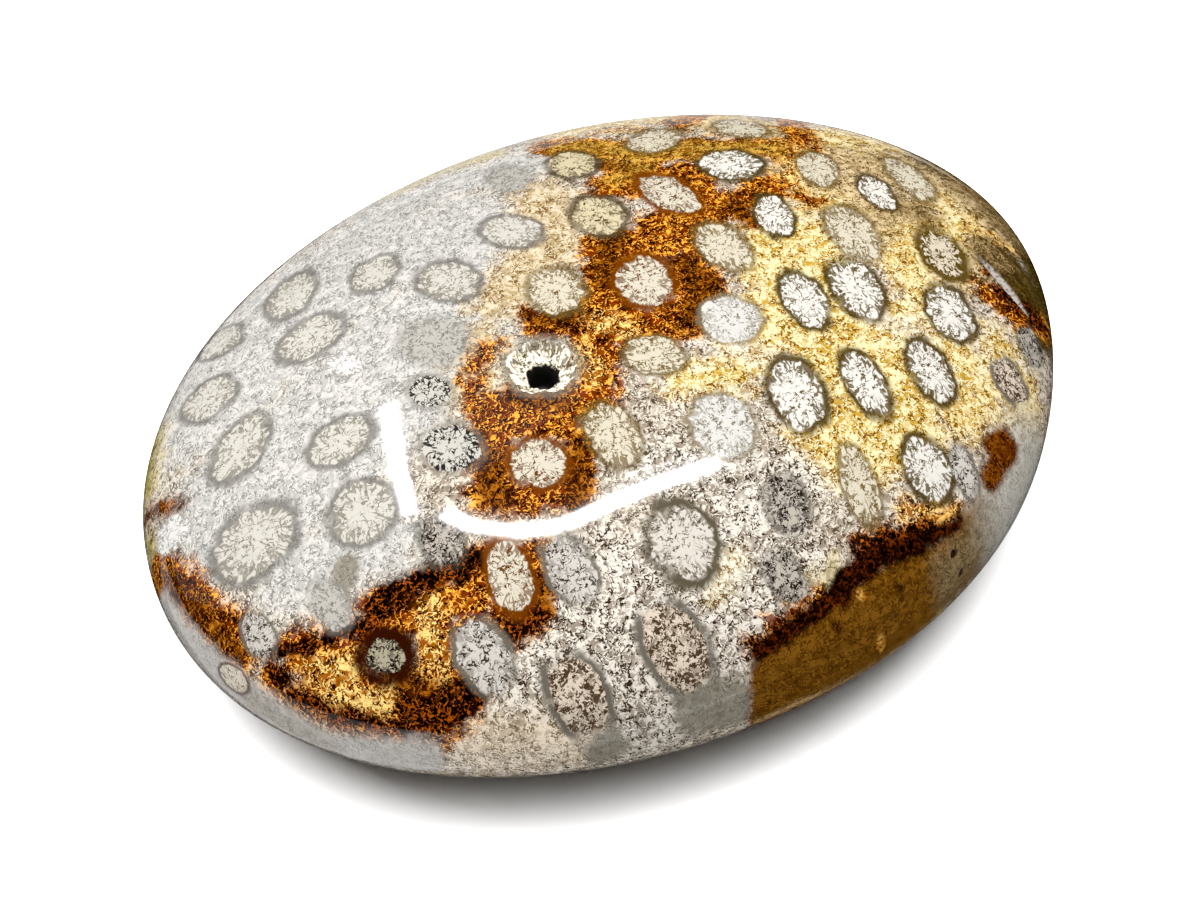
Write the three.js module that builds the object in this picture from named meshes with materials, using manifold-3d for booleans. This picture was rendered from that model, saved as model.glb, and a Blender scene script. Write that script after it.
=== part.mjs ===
// A polished palm stone of fossil coral: one solid oval pebble with a low dome, round sides and a
// small flat that it rests on. Millimetres, +Z up, origin under the middle of the stone.
import * as THREE from 'three';
import { mergeVertices } from 'three/addons/utils/BufferGeometryUtils.js';
import Module from 'manifold-3d';

// Driving dimensions of the stone
const HALF_LENGTH = 34; // along X, at the girdle, which is the widest line round the stone
const HALF_WIDTH = 27.5; // along Y, at the girdle
const GIRDLE_HEIGHT = 10.4; // girdle above the surface that the stone rests on
const DOME_HEIGHT = 10.3; // crown above the girdle
const UNDER_DEPTH = 10.8; // underside below the girdle, before the flat is ground off

// Character of the hand-ground shape
const DOME_FULLNESS = 2.1; // exponent of the profile above the girdle: 2 is an ellipse
const UNDER_FULLNESS = 2.4; // exponent of the profile below the girdle
const TAPER = -0.11; // share of the width lost towards the +X end
const SKEW = 0.075; // share by which two opposite corners of the outline are fuller
const THREE_CORNERS = -0.03; // share of a slight three-cornered wave in the outline
const FOUR_CORNERS = -0.0075; // share of a slight four-cornered wave in it
const FOUR_CORNERS_TURNED = 0.005; // the same wave, a quarter of its length further round

// Hollows in the polished skin, by plan angle from +X and latitude above the girdle, in degrees
const CALYX_SPOT = { angle: 210, latitude: 78 }; // one coral cup that is worn open
const CALYX_PROFILE = [
  // radius and height against the skin: blind end, throat, shoulder, bowl, then clear of the skin
  [0, -2.8],
  [0.7, -2.6],
  [1, -1.4],
  [1.2, -1],
  [2, -0.5],
  [2.4, 0.5],
  [0, 0.5],
];
const FISSURE_SPOT = { angle: -4, latitude: 29 };
const FISSURE_TOWARDS = { angle: -9.3, latitude: 22.2 };
const FISSURE_LENGTH = 5.6;
const FISSURE_WIDTH = 0.8;
const FISSURE_DEPTH = 0.5;

// Facets
const SEGMENTS = 80; // round the stone
const DOME_RINGS = 20;
const UNDER_RINGS = 12;
const CALYX_SEGMENTS = 14;
const FISSURE_SEGMENTS = 8;
const FISSURE_CAP_RINGS = 3;

const COLOUR = 0xb39b7c; // cream and tan, averaged over the markings
const ROUGHNESS = 0.12; // a glossy polish

const wasm = await Module();
wasm.setup();

// Radius, as a share of the girdle's, and height of the profile at a latitude in radians.
function profile(latitude) {
  const above = latitude >= 0;
  const power = 2 / (above ? DOME_FULLNESS : UNDER_FULLNESS);
  const reach = above ? DOME_HEIGHT : UNDER_DEPTH;
  const rise = Math.sign(latitude) * reach * Math.abs(Math.sin(latitude)) ** power;
  return { share: Math.cos(latitude) ** power, height: GIRDLE_HEIGHT + rise };
}

// Point of the skin at a plan angle in radians, for a profile radius and height.
function skinPoint(angle, { share, height }) {
  const fourCorners = FOUR_CORNERS * Math.cos(4 * angle) + FOUR_CORNERS_TURNED * Math.sin(4 * angle);
  const swell = 1 + SKEW * Math.sin(2 * angle) + THREE_CORNERS * Math.cos(3 * angle) + fourCorners;
  const x = HALF_LENGTH * Math.cos(angle) * share * swell;
  const taper = 1 + TAPER * Math.cos(angle) * share;
  const y = HALF_WIDTH * Math.sin(angle) * share * taper * swell;
  return new THREE.Vector3(x, y, height);
}

// Closed solid of a geometry: shared corners are merged and collapsed triangles dropped.
function solidOf(geometry) {
  geometry.deleteAttribute('normal');
  geometry.deleteAttribute('uv');
  const merged = mergeVertices(geometry);
  const index = merged.index.array;
  const triangles = [];
  for (let i = 0; i < index.length; i += 3) {
    const [a, b, c] = index.slice(i, i + 3);
    if (a !== b && b !== c && c !== a) {
      triangles.push(a, b, c);
    }
  }
  const mesh = new wasm.Mesh({
    numProp: 3,
    vertProperties: new Float32Array(merged.attributes.position.array),
    triVerts: new Uint32Array(triangles),
  });
  return new wasm.Manifold(mesh);
}

// The whole pebble: its profile turned round Z, then drawn out to the oval outline.
function pebble() {
  const flatPower = UNDER_FULLNESS / 2;
  const flatLatitude = -Math.asin((GIRDLE_HEIGHT / UNDER_DEPTH) ** flatPower);
  const line = [new THREE.Vector2(0, 0)];
  for (let i = 0; i < UNDER_RINGS; i += 1) {
    const { share, height } = profile(flatLatitude * (1 - i / UNDER_RINGS));
    line.push(new THREE.Vector2(share, Math.max(height, 0)));
  }
  for (let i = 0; i < DOME_RINGS; i += 1) {
    const { share, height } = profile((Math.PI / 2) * (i / DOME_RINGS));
    line.push(new THREE.Vector2(share, height));
  }
  line.push(new THREE.Vector2(0, GIRDLE_HEIGHT + DOME_HEIGHT));

  const geometry = new THREE.LatheGeometry(line, SEGMENTS);
  geometry.rotateX(Math.PI / 2);
  const position = geometry.attributes.position;
  for (let i = 0; i < position.count; i += 1) {
    const x = position.getX(i);
    const y = position.getY(i);
    const ring = { share: Math.hypot(x, y), height: position.getZ(i) };
    const point = skinPoint(Math.atan2(y, x), ring);
    position.setXYZ(i, point.x, point.y, point.z);
  }
  return solidOf(geometry);
}

// Point of the skin at a spot given in degrees.
function spotPoint({ angle, latitude }) {
  const radians = THREE.MathUtils.degToRad(angle);
  return skinPoint(radians, profile(THREE.MathUtils.degToRad(latitude)));
}

// Outward direction of the skin at a spot.
function spotNormal({ angle, latitude }) {
  const small = 0.1;
  const east = spotPoint({ angle: angle + small, latitude }).sub(spotPoint({ angle, latitude }));
  const north = spotPoint({ angle, latitude: latitude + small }).sub(spotPoint({ angle, latitude }));
  return east.cross(north).normalize();
}

// Moves a cutter drawn round the origin to a spot: its Z out of the skin, its X in a direction.
function placed(geometry, spot, direction) {
  const normal = spotNormal(spot);
  const across = normal.clone().cross(direction).normalize();
  const along = across.clone().cross(normal);
  const { x, y, z } = spotPoint(spot);
  geometry.applyMatrix4(new THREE.Matrix4().makeBasis(along, across, normal));
  geometry.translate(x, y, z);
  return solidOf(geometry);
}

// The open cup: a shallow bowl that turns down into a narrow throat.
function calyxCutter() {
  const line = CALYX_PROFILE.map(([radius, height]) => new THREE.Vector2(radius, height));
  const geometry = new THREE.LatheGeometry(line, CALYX_SEGMENTS);
  geometry.rotateX(Math.PI / 2);
  return placed(geometry, CALYX_SPOT, new THREE.Vector3(1, 0, 0));
}

// The fissure: a narrow groove with round ends.
function fissureCutter() {
  const radius = FISSURE_WIDTH / 2;
  const run = FISSURE_LENGTH - FISSURE_WIDTH;
  const geometry = new THREE.CapsuleGeometry(radius, run, FISSURE_CAP_RINGS, FISSURE_SEGMENTS);
  geometry.rotateZ(Math.PI / 2);
  geometry.scale(1, 1, FISSURE_DEPTH / radius);
  const direction = spotPoint(FISSURE_TOWARDS).sub(spotPoint(FISSURE_SPOT));
  return placed(geometry, FISSURE_SPOT, direction);
}

// The stone with its hollows, standing on z = 0 with the origin under its middle.
function stoneGeometry() {
  const stone = pebble().subtract(calyxCutter()).subtract(fissureCutter());
  const { vertProperties, triVerts } = stone.getMesh();
  const geometry = new THREE.BufferGeometry();
  geometry.setAttribute('position', new THREE.BufferAttribute(vertProperties, 3));
  geometry.setIndex(new THREE.BufferAttribute(triVerts, 1));
  geometry.computeBoundingBox();
  const middle = geometry.boundingBox.getCenter(new THREE.Vector3());
  geometry.translate(-middle.x, -middle.y, 0);
  geometry.computeVertexNormals();
  return geometry;
}

const stone = new THREE.Mesh(
  stoneGeometry(),
  new THREE.MeshStandardMaterial({ color: COLOUR, roughness: ROUGHNESS, metalness: 0 }),
);
stone.name = 'stone';

const palmStone = new THREE.Group();
palmStone.name = 'fossil_coral_palm_stone';
palmStone.add(stone);

export default palmStone;
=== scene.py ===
# A polished palm stone of fossil coral: the finished skin, its markings, the light and the camera.
# The shape follows the stone's solid. Markings are placed by pixels of a 1200 x 900 view of it, and
# run through the stone as the coral's tubes do, so that the sides and the underside carry them too.
import math
import random
from collections import namedtuple

import bmesh
import bpy
import numpy as np
from mathutils import Matrix, Vector, noise
from mathutils.bvhtree import BVHTree


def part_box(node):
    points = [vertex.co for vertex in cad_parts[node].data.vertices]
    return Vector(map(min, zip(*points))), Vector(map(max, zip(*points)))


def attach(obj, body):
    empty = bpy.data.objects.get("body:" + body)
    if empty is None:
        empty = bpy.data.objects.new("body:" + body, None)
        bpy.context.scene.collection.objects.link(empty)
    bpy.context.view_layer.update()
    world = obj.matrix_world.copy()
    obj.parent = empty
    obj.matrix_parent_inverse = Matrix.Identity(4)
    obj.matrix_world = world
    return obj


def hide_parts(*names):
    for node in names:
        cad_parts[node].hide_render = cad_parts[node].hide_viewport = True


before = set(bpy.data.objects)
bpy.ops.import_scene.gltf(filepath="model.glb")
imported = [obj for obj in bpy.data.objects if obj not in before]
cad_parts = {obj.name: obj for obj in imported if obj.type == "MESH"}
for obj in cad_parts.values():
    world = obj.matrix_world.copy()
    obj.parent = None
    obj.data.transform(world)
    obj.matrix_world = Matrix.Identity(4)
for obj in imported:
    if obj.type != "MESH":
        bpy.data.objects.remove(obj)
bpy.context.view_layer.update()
MM = 0.001
UPRIGHT = Vector((0, 0, 1))
FAR = 1e9

# The view, in millimetres and degrees
IMAGE_WIDTH = 1200
IMAGE_HEIGHT = 900
VIEW_AZIMUTH = -17.95
VIEW_ELEVATION = 48
VIEW_DISTANCE = 200
VIEW_AIM = Vector((-1.757, -2.53, 10))
LENS = 85.07
SENSOR = 36
NEAREST_SEEN = 10
STONE_MIDDLE = (600, 445)  # pixel in the middle of the stone
SLIDE = 0.004  # share of the way to it that a pixel off the stone slides at a time

# The stone, in millimetres
HALF_LENGTH = 34  # at the girdle, the stone's widest line
HALF_WIDTH = 27.5
GIRDLE_HEIGHT = 10.4  # above the surface that the stone rests on
DOME_HEIGHT = 10.3  # crown above the girdle
UNDER_DEPTH = 10.8  # underside below it, before the flat is ground off
DOME_FULLNESS = 2.1  # exponent of the profile above the girdle: 2 is an ellipse
UNDER_FULLNESS = 2.4  # the same below the girdle
TAPER = -0.11  # share of the width lost towards the +X end
SKEW = 0.075  # share by which two opposite corners of the outline are fuller
THREE_CORNERS = -0.03  # share of a slight three-cornered wave in the outline
FOUR_CORNERS = -0.0075  # share of a slight four-cornered wave in it
FOUR_CORNERS_TURNED = 0.005  # the same, a quarter wave further round

# Mesh of the skin
RINGS = 96  # from the crown to the girdle, and as many below it
FLAT_RINGS = 30  # rings that the flat takes of those below
HOLLOW_CUTS = 3  # cuts of each edge near a hollow

# Hollows in the polish, in millimetres and by pixels of the view. The open cup's profile is radius
# and depth. A hollow changes the skin within its reach. Its waves are shares of its radius, each
# with the number of waves for a millimetre.
CUP_PIXEL = (542, 366)
CUP_PROFILE = [(0, 2.8), (0.62, 2.7), (0.95, 1.6), (1.15, 1.05), (1.7, 0.72), (2.1, 0.4), (2.3, 0)]
CUP_REACH = 3.2
CUP_WAVES = [(0.16, 1.1), (0.1, 3.1)]
FISSURE_PIXELS = [(980, 256), (1027, 313)]
FISSURE_HALF_WIDTH = 0.6
FISSURE_TAPER = 0.6  # share of the width that is lost at the ends
FISSURE_DEPTH = 0.48
FISSURE_FULLNESS = 0.6  # exponent of the section
FISSURE_REACH = 0.9
FISSURE_STEPS = 12
POCK_PIXELS = [(955, 554), (962, 573), (955, 597)]
POCK_RADIUS = 0.42
POCK_DEPTH = 0.22
POCK_REACH = 0.9
POCK_WAVES = [(0.4, 2.3)]

# A look of the coral cups: the colours of the disc, of the gaps between its septa and of the ring
# round it, the width and strength of the ring, how many dark flakes the disc has, how dark the gaps
# are, and how far the ring is open at two sides. Colours are sRGB shares as seen in studio light,
# and above 1 where the light bleaches them.
Look = namedtuple("Look", "disc gap ring ring_width ring_strength core cut opened", defaults=[0])
LOOKS = {
    "bold": Look((1.06, 1.04, 1.00), (0.42, 0.34, 0.16), (0.34, 0.27, 0.11), 0.25, 0.95, 0.3, 0.9),
    "cream": Look((0.99, 0.95, 0.85), (0.52, 0.42, 0.22), (0.47, 0.38, 0.19), 0.24, 0.75, 0.4, 0.8),
    "white": Look((1.00, 0.99, 0.96), (0.58, 0.53, 0.44), (0.60, 0.55, 0.44), 0.18, 0.7, 0.3, 0.5),
    "front": Look((0.99, 0.96, 0.91), (0.45, 0.39, 0.30), (0.42, 0.38, 0.30), 0.25, 1, 0.5, 0.6),
    "amber": Look((0.99, 0.95, 0.86), (0.46, 0.28, 0.08), (0.52, 0.26, 0.01), 0.3, 0.9, 0.4, 0.75),
    "tan": Look((0.97, 0.91, 0.75), (0.42, 0.34, 0.20), (0.36, 0.30, 0.19), 0.3, 0.85, 0.25, 0.65),
    "pale": Look((0.96, 0.94, 0.89), (0.62, 0.59, 0.53), (0.50, 0.48, 0.45), 0.28, 0.8, 0.45, 0.85),
    "ghost": Look((0.85, 0.83, 0.79), (0.56, 0.54, 0.50), (0.60, 0.58, 0.55), 0.25, 0.35, 0.4, 0.6),
    "star": Look((0.93, 0.91, 0.86), (0.10, 0.07, 0.04), (0.56, 0.53, 0.48), 0.3, 0.5, 0.45, 1),
    "dark": Look((0.86, 0.82, 0.76), (0.16, 0.12, 0.09), (0.36, 0.34, 0.29), 0.28, 0.6, 0.95, 0.7, 0.5),
    "grey": Look((0.95, 0.92, 0.88), (0.30, 0.26, 0.21), (0.50, 0.48, 0.43), 0.24, 0.9, 0.7, 0.5, 0.7),
    "brown": Look((1.02, 0.95, 0.86), (0.36, 0.27, 0.19), (0.50, 0.47, 0.42), 0.32, 1, 1.1, 0.3, 0.85),
    # The pit look's disc is lighter than any other, a painted light that lifts the shade on the open
    # cup's wall.
    "pit_painted_light": Look((1.40, 1.35, 1.22), (0.44, 0.35, 0.18), (0.55, 0.52, 0.46), 0.28, 0.6, 0.6, 0.8),
    "olive": Look((1.00, 0.94, 0.84), (0.40, 0.32, 0.09), (0.40, 0.30, 0.06), 0.38, 0.95, 0.6, 1),
    "bloom": Look((1.05, 1.04, 1.02), (0.72, 0.70, 0.66), (0.80, 0.79, 0.77), 0.1, 0.2, 0.2, 1),
    "spot": Look((1.00, 0.96, 0.88), (0.55, 0.40, 0.25), (0.36, 0.24, 0.12), 0.25, 0.9, 0.3, 0.3),
    "night": Look((0.78, 0.74, 0.63), (0.12, 0.06, 0.02), (0.22, 0.07, 0.01), 0.95, 1, 0.85, 0.9),
}

# Coral cups: middle x, middle y, long and short radius, tilt of the long radius in degrees clockwise
# from the right, all in pixels of the view, and the look.
CUPS = [
    (797, 393, 36, 25, 63, "bold"),
    (866, 383, 36, 17, 58, "bold"),
    (930, 370, 33, 17, 58, "bold"),
    (928, 468, 33, 21, 62, "bold"),
    (860, 484, 40, 16, 70, "cream"),
    (964, 470, 28, 11, 68, "grey"),
    (787, 505, 30, 20, 65, "dark"),
    (805, 300, 30, 19, 50, "bold"),
    (856, 288, 33, 21, 48, "bold"),
    (852, 232, 32, 19, 40, "cream"),
    (877, 192, 22, 11, 42, "bold"),
    (910, 178, 30, 11, 38, "cream"),
    (942, 253, 28, 15, 48, "olive"),
    (950, 312, 30, 18, 54, "bold"),
    (774, 215, 22, 16, 45, "bold"),
    (818, 168, 21, 14, 32, "cream"),
    (731, 164, 30, 14, 3, "bold"),
    (741, 128, 25, 8, 6, "cream"),
    (654, 140, 26, 11, -8, "cream"),
    (668, 193, 32, 15, 24, "amber"),
    (598, 215, 26, 18, 8, "tan"),
    (644, 281, 27, 24, 20, "amber"),
    (724, 247, 30, 19, 30, "cream"),
    (731, 319, 30, 22, 8, "white"),
    (655, 355, 29, 18, 8, "cream"),
    (613, 434, 34, 23, 50, "cream"),
    (538, 463, 28, 23, 10, "amber"),
    (723, 426, 34, 28, 40, "white"),
    (556, 290, 28, 22, 10, "cream"),
    (511, 231, 29, 15, 4, "pale"),
    (572, 164, 23, 12, 0, "tan"),
    (508, 178, 22, 13, 0, "ghost"),
    (448, 281, 30, 18, 2, "pale"),
    (374, 274, 24, 14, -30, "pale"),
    (291, 295, 28, 15, -43, "pale"),
    (220, 342, 24, 10, -36, "pale"),
    (311, 337, 34, 17, -32, "pale"),
    (346, 364, 19, 13, 0, "bloom"),
    (434, 341, 36, 22, 0, "ghost"),
    (430, 391, 22, 15, 0, "star"),
    (451, 448, 28, 24, 0, "star"),
    (208, 399, 30, 15, -37, "pale"),
    (240, 447, 37, 19, -53, "pale"),
    (340, 441, 33, 19, -33, "pale"),
    (363, 512, 33, 28, -40, "pale"),
    (254, 541, 44, 29, -43, "pale"),
    (172, 533, 22, 13, -60, "bloom"),
    (682, 542, 39, 31, 60, "front"),
    (676, 646, 46, 28, 62, "brown"),
    (577, 692, 40, 26, 65, "brown"),
    (570, 569, 36, 22, 62, "grey"),
    (510, 576, 36, 21, 75, "amber"),
    (442, 540, 26, 20, 70, "dark"),
    (483, 655, 38, 25, 62, "grey"),
    (386, 656, 19, 18, 0, "night"),
    (258, 635, 22, 15, 70, "grey"),
    (330, 605, 26, 18, 60, "ghost"),
    (542, 366, 34, 26, 0, "pit_painted_light"),
    (785, 577, 27, 17, 60, "dark"),
    (1031, 347, 22, 9, 65, "dark"),
    (1010, 380, 26, 11, 60, "brown"),
    (233, 678, 17, 9, 45, "spot"),
]

# The stains of the matrix between the cups, with a few patches of painted reflection and painted
# light among them, marked below. Each has the colours of its pale flakes, of its deep flakes and of
# the lines between them, the share of pale flakes, how far its edge fades and how ragged the edge
# is, in millimetres, and strokes of it, each a radius in millimetres and pixels of the view.
StainAndPaintedLight = namedtuple("StainAndPaintedLight", "light deep line cover fade ragged strokes", defaults=[0, 0, ()])
PLAIN_MATRIX = StainAndPaintedLight((1.06, 1.02, 0.95), (0.76, 0.69, 0.60), (0.40, 0.33, 0.26), 0.5)
STAINS_AND_PAINTED_LIGHT = {
    "sand": StainAndPaintedLight((1.03, 0.92, 0.71), (0.74, 0.62, 0.41), (0.42, 0.32, 0.15), 0.56, 1.4, 4, [
        (3.5, (800, 185), (880, 210), (960, 260)),
        (3.2, (820, 150), (900, 170), (970, 215)),
        (2.2, (690, 122), (780, 130)),
        (1.6, (1015, 400), (1025, 425)),
    ]),
    "gold": StainAndPaintedLight((1.13, 1.07, 0.84), (0.91, 0.73, 0.27), (0.55, 0.34, 0.03), 0.6, 1.4, 5, [
        (4.2, (790, 250), (830, 350), (780, 330)),
        (3.6, (890, 330), (900, 420), (840, 440)),
        (1.8, (955, 225), (900, 260), (985, 400), (960, 420)),
        (1.6, (690, 380), (740, 370)),
        (1.6, (1000, 345), (1022, 400)),
        (1.9, (560, 128), (640, 116), (720, 110)),
        (1, (800, 192), (835, 205)),
        (2, (830, 134), (890, 145)),
        (1.2, (945, 205), (978, 238)),
    ]),
    "haze": StainAndPaintedLight((1.02, 1.00, 0.97), (0.87, 0.86, 0.83), (0.66, 0.65, 0.63), 0.5, 1.8, 5, [
        (6, (200, 400), (280, 320), (380, 250)),
        (6, (250, 500), (330, 430), (430, 330)),
        (4, (460, 220), (440, 300), (400, 400)),
        (3, (300, 570), (380, 540)),
        (2.5, (380, 215), (450, 185), (525, 160)),
    ]),
    "mauve": StainAndPaintedLight((1.09, 1.06, 1.00), (0.72, 0.66, 0.59), (0.26, 0.20, 0.14), 0.57, 1.4, 5, [
        (4.5, (600, 600), (700, 600), (760, 560)),
        (4, (540, 700), (640, 700)),
        (2.2, (650, 470), (790, 480)),
    ]),
    "tan": StainAndPaintedLight((1.05, 0.98, 0.84), (0.86, 0.75, 0.55), (0.56, 0.42, 0.23), 0.55, 1.4, 5, [
        (2.4, (545, 200), (550, 250), (500, 300)),
        (1.8, (480, 340), (475, 390)),
    ]),
    # Painted light: a paler patch that lifts the lower front side, where less of the overhead light
    # falls.
    "front_painted_light": StainAndPaintedLight((1.14, 1.07, 0.96), (0.94, 0.86, 0.74), (0.62, 0.53, 0.42), 0.5, 1.2, 2.5, [
        (1.3, (470, 738), (540, 745), (590, 735)),
    ]),
    "milk": StainAndPaintedLight((1.10, 1.08, 1.00), (0.98, 0.92, 0.76), (0.62, 0.46, 0.20), 0.56, 1, 3, [
        (0.9, (880, 320), (918, 330)),
        (0.7, (745, 352), (780, 356)),
        (0.8, (735, 560), (715, 590)),
    ]),
    "olive": StainAndPaintedLight((0.46, 0.37, 0.16), (0.32, 0.24, 0.06), (0.24, 0.17, 0.03), 0.45, 0.9, 1.5, [
        (2.2, (1000, 258), (1024, 290), (1036, 325)),
        (1.6, (1030, 248), (1046, 290), (1050, 325)),
    ]),
    "agate": StainAndPaintedLight((0.72, 0.69, 0.62), (0.64, 0.61, 0.55), (0.55, 0.52, 0.46), 0.5, 0.4, 1.5, [
        (1.1, (690, 708), (740, 705)),
        (0.9, (598, 752), (615, 745)),
        (0.8, (348, 566), (334, 606)),
    ]),
    "drab": StainAndPaintedLight((0.84, 0.71, 0.50), (0.57, 0.46, 0.27), (0.32, 0.25, 0.12), 0.45, 1.3, 3, [
        (2.6, (945, 160), (992, 192), (1015, 225)),
        (1.2, (890, 205), (925, 215)),
        (1.1, (985, 248), (1000, 258)),
    ]),
    "straw": StainAndPaintedLight((1.02, 0.95, 0.73), (0.90, 0.82, 0.58), (0.64, 0.55, 0.34), 0.5, 1.2, 3.5, [
        (1.3, (146, 445), (146, 490)),
        (1.7, (395, 188), (440, 170), (482, 156)),
        (0.5, (822, 585), (838, 570)),
    ]),
    "moss": StainAndPaintedLight((0.86, 0.80, 0.42), (0.68, 0.60, 0.24), (0.42, 0.36, 0.12), 0.5, 0.9, 3, [
        (0.5, (149, 455), (146, 490)),
        (0.4, (147, 540), (156, 562)),
    ]),
    "rust": StainAndPaintedLight((1.22, 0.86, 0.30), (0.58, 0.225, 0.001), (0.15, 0.04, 0.002), 0.35, 0.6, 3.5, [
        (1.8, (552, 146), (620, 152), (690, 150), (760, 148), (800, 152)),
        (2, (640, 165), (615, 185), (690, 175), (700, 200)),
        (2.2, (710, 205), (660, 232), (690, 235), (640, 245), (610, 250)),
        (1.6, (735, 205), (775, 185)),
        (1.9, (612, 250), (605, 290), (590, 325)),
        (2, (690, 270), (700, 300), (680, 322), (620, 325)),
        (1.4, (535, 322), (580, 325), (600, 350), (600, 390)),
        (1.6, (590, 400), (540, 405), (490, 410), (490, 440), (495, 490)),
        (1.2, (580, 440), (578, 490), (530, 500), (480, 500)),
        (0.8, (488, 345), (470, 380), (480, 410)),
        (1.5, (480, 560), (470, 600), (430, 600), (400, 620), (380, 610)),
        (1.7, (300, 650), (340, 660), (320, 690), (400, 700), (460, 690)),
        (1.5, (440, 620), (440, 670), (530, 610), (540, 560)),
        (1.8, (162, 580), (185, 600), (215, 630), (238, 655)),
        (0.9, (270, 676), (300, 702), (340, 718), (400, 728), (445, 728)),
        (1.2, (678, 124), (700, 112)),
        (0.7, (794, 194), (812, 200)),
        (1.2, (800, 142), (790, 120)),
        (0.5, (756, 645), (786, 617), (820, 597)),
        (0.9, (862, 552), (890, 540), (948, 515)),
        (1, (985, 290), (1020, 320), (1045, 330)),
        (1.4, (500, 424), (560, 424)),
        (1.4, (602, 345), (602, 395)),
    ]),
    "umber": StainAndPaintedLight((0.78, 0.46, 0.08), (0.34, 0.14, 0.003), (0.09, 0.025, 0.002), 0.42, 0.6, 2.5, [
        (0.9, (612, 232), (606, 282)),
        (1.1, (688, 265), (706, 290), (690, 325)),
        (0.9, (530, 318), (578, 318)),
        (0.9, (735, 205), (752, 222)),
        (0.9, (580, 448), (578, 500)),
        (1, (478, 446), (498, 500)),
        (0.8, (600, 165), (640, 168)),
        (0.8, (510, 395), (560, 402)),
        (1, (395, 690), (450, 695)),
        (0.9, (545, 585), (540, 610)),
        (0.9, (166, 582), (190, 606), (205, 620)),
        (0.6, (215, 632), (238, 655)),
        (0.7, (150, 513), (180, 507)),
    ]),
    "ochre": StainAndPaintedLight((1.00, 0.80, 0.36), (0.64, 0.42, 0.08), (0.32, 0.18, 0.02), 0.48, 0.9, 3, [
        (1.3, (560, 146), (640, 154), (720, 148), (775, 150)),
        (0.8, (612, 180), (640, 168)),
    ]),
    "honey": StainAndPaintedLight((1.17, 1.03, 0.64), (0.74, 0.42, 0.03), (0.15, 0.05, 0.004), 0.5, 0.8, 3, [
        (0.9, (430, 605), (437, 660)),
        (1, (310, 670), (345, 668), (330, 698), (380, 705)),
        (0.9, (600, 320), (625, 328)),
        (0.7, (585, 350), (596, 375)),
        (0.7, (600, 132), (640, 128)),
        (0.8, (790, 175), (800, 150)),
        (0.8, (905, 512), (940, 505)),
        (0.5, (972, 226), (1008, 246)),
    ]),
    "dark": StainAndPaintedLight((0.78, 0.38, 0.06), (0.11, 0.028, 0.003), (0.02, 0.006, 0.002), 0.33, 0.4, 2, [
        (0.9, (476, 558), (462, 569), (421, 581), (390, 598), (376, 614), (364, 628)),
        (0.6, (364, 628), (333, 636), (299, 648), (272, 660)),
        (0.9, (531, 619), (515, 630)),
        (0.45, (272, 664), (296, 698), (345, 719), (400, 728), (450, 722), (480, 700)),
        (0.9, (410, 712), (455, 710), (473, 686)),
        (0.9, (862, 556), (900, 540), (925, 534)),
        (0.8, (1000, 290), (1040, 325)),
        (0.3, (984, 270), (1016, 312)),
    ]),
    "chert": StainAndPaintedLight((0.62, 0.42, 0.12), (0.47, 0.30, 0.05), (0.37, 0.22, 0.02), 0.5, 0.4, 1.2, [
        (2.7, (785, 695), (855, 647), (925, 597)),
        (1.6, (945, 575), (990, 525)),
    ]),
    "loam": StainAndPaintedLight((0.70, 0.60, 0.43), (0.56, 0.47, 0.32), (0.42, 0.34, 0.22), 0.5, 1.2, 1.5, [
        (1.2, (948, 578), (988, 530)),
    ]),
    # Painted reflection: a smooth pale band where the right rim mirrors the lit floor.
    "right_rim_reflection": StainAndPaintedLight((0.92, 0.91, 0.87), (0.86, 0.84, 0.79), (0.76, 0.73, 0.67), 0.5, 2.4, 0.6, [
        (2.7, (1004, 535), (1024, 497), (1034, 472)),
    ]),
    "ember": StainAndPaintedLight((0.62, 0.36, 0.06), (0.44, 0.20, 0.01), (0.22, 0.08, 0.005), 0.45, 0.4, 1.2, [
        (1.2, (1004, 444), (999, 452)),
        (0.8, (999, 454), (990, 480)),
    ]),
    # Painted reflection: a pale grey band where the lower-left side mirrors the lit floor.
    "wall_reflection": StainAndPaintedLight((0.92, 0.90, 0.87), (0.84, 0.82, 0.79), (0.72, 0.70, 0.67), 0.5, 0.35, 0.8, [
        (0.9, (160, 614), (200, 657), (240, 692), (285, 724), (330, 747), (385, 757), (430, 760)),
    ]),
    # Painted reflection: a duller stretch of that band.
    "dim_wall_reflection": StainAndPaintedLight((0.76, 0.71, 0.63), (0.66, 0.61, 0.53), (0.50, 0.45, 0.38), 0.5, 1, 0.8, [
        (0.4, (248, 700), (285, 726), (330, 749)),
    ]),
    # Painted reflection: a thin pale band where the lower right rim mirrors the floor, tinted by the
    # stone.
    "lower_rim_reflection": StainAndPaintedLight((0.98, 0.84, 0.64), (0.84, 0.69, 0.47), (0.64, 0.48, 0.26), 0.5, 0.45, 0.8, [
        (0.2, (757, 722), (800, 703), (860, 673), (905, 643), (940, 615)),
    ]),
    "speck": StainAndPaintedLight((0.98, 0.80, 0.42), (0.84, 0.54, 0.14), (0.55, 0.28, 0.03), 0.5, 0.15, 0.5, [
        (0.3, (858, 591), (863, 595)),
        (0.3, (880, 640), (882, 648)),
    ]),
    "vein": StainAndPaintedLight((0.42, 0.17, 0.02), (0.12, 0.035, 0.005), (0.02, 0.006, 0.002), 0.4, 0.3, 0.9, [
        (0.55, (757, 653), (783, 635), (804, 620), (823, 607), (839, 593)),
        (0.8, (839, 593), (848, 578), (864, 567), (880, 557)),
        (0.75, (880, 557), (897, 551), (918, 543)),
        (0.45, (918, 543), (937, 535), (958, 523)),
        (0.2, (898, 587), (902, 589)),
        (0.2, (835, 626), (839, 627)),
    ]),
}


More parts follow.
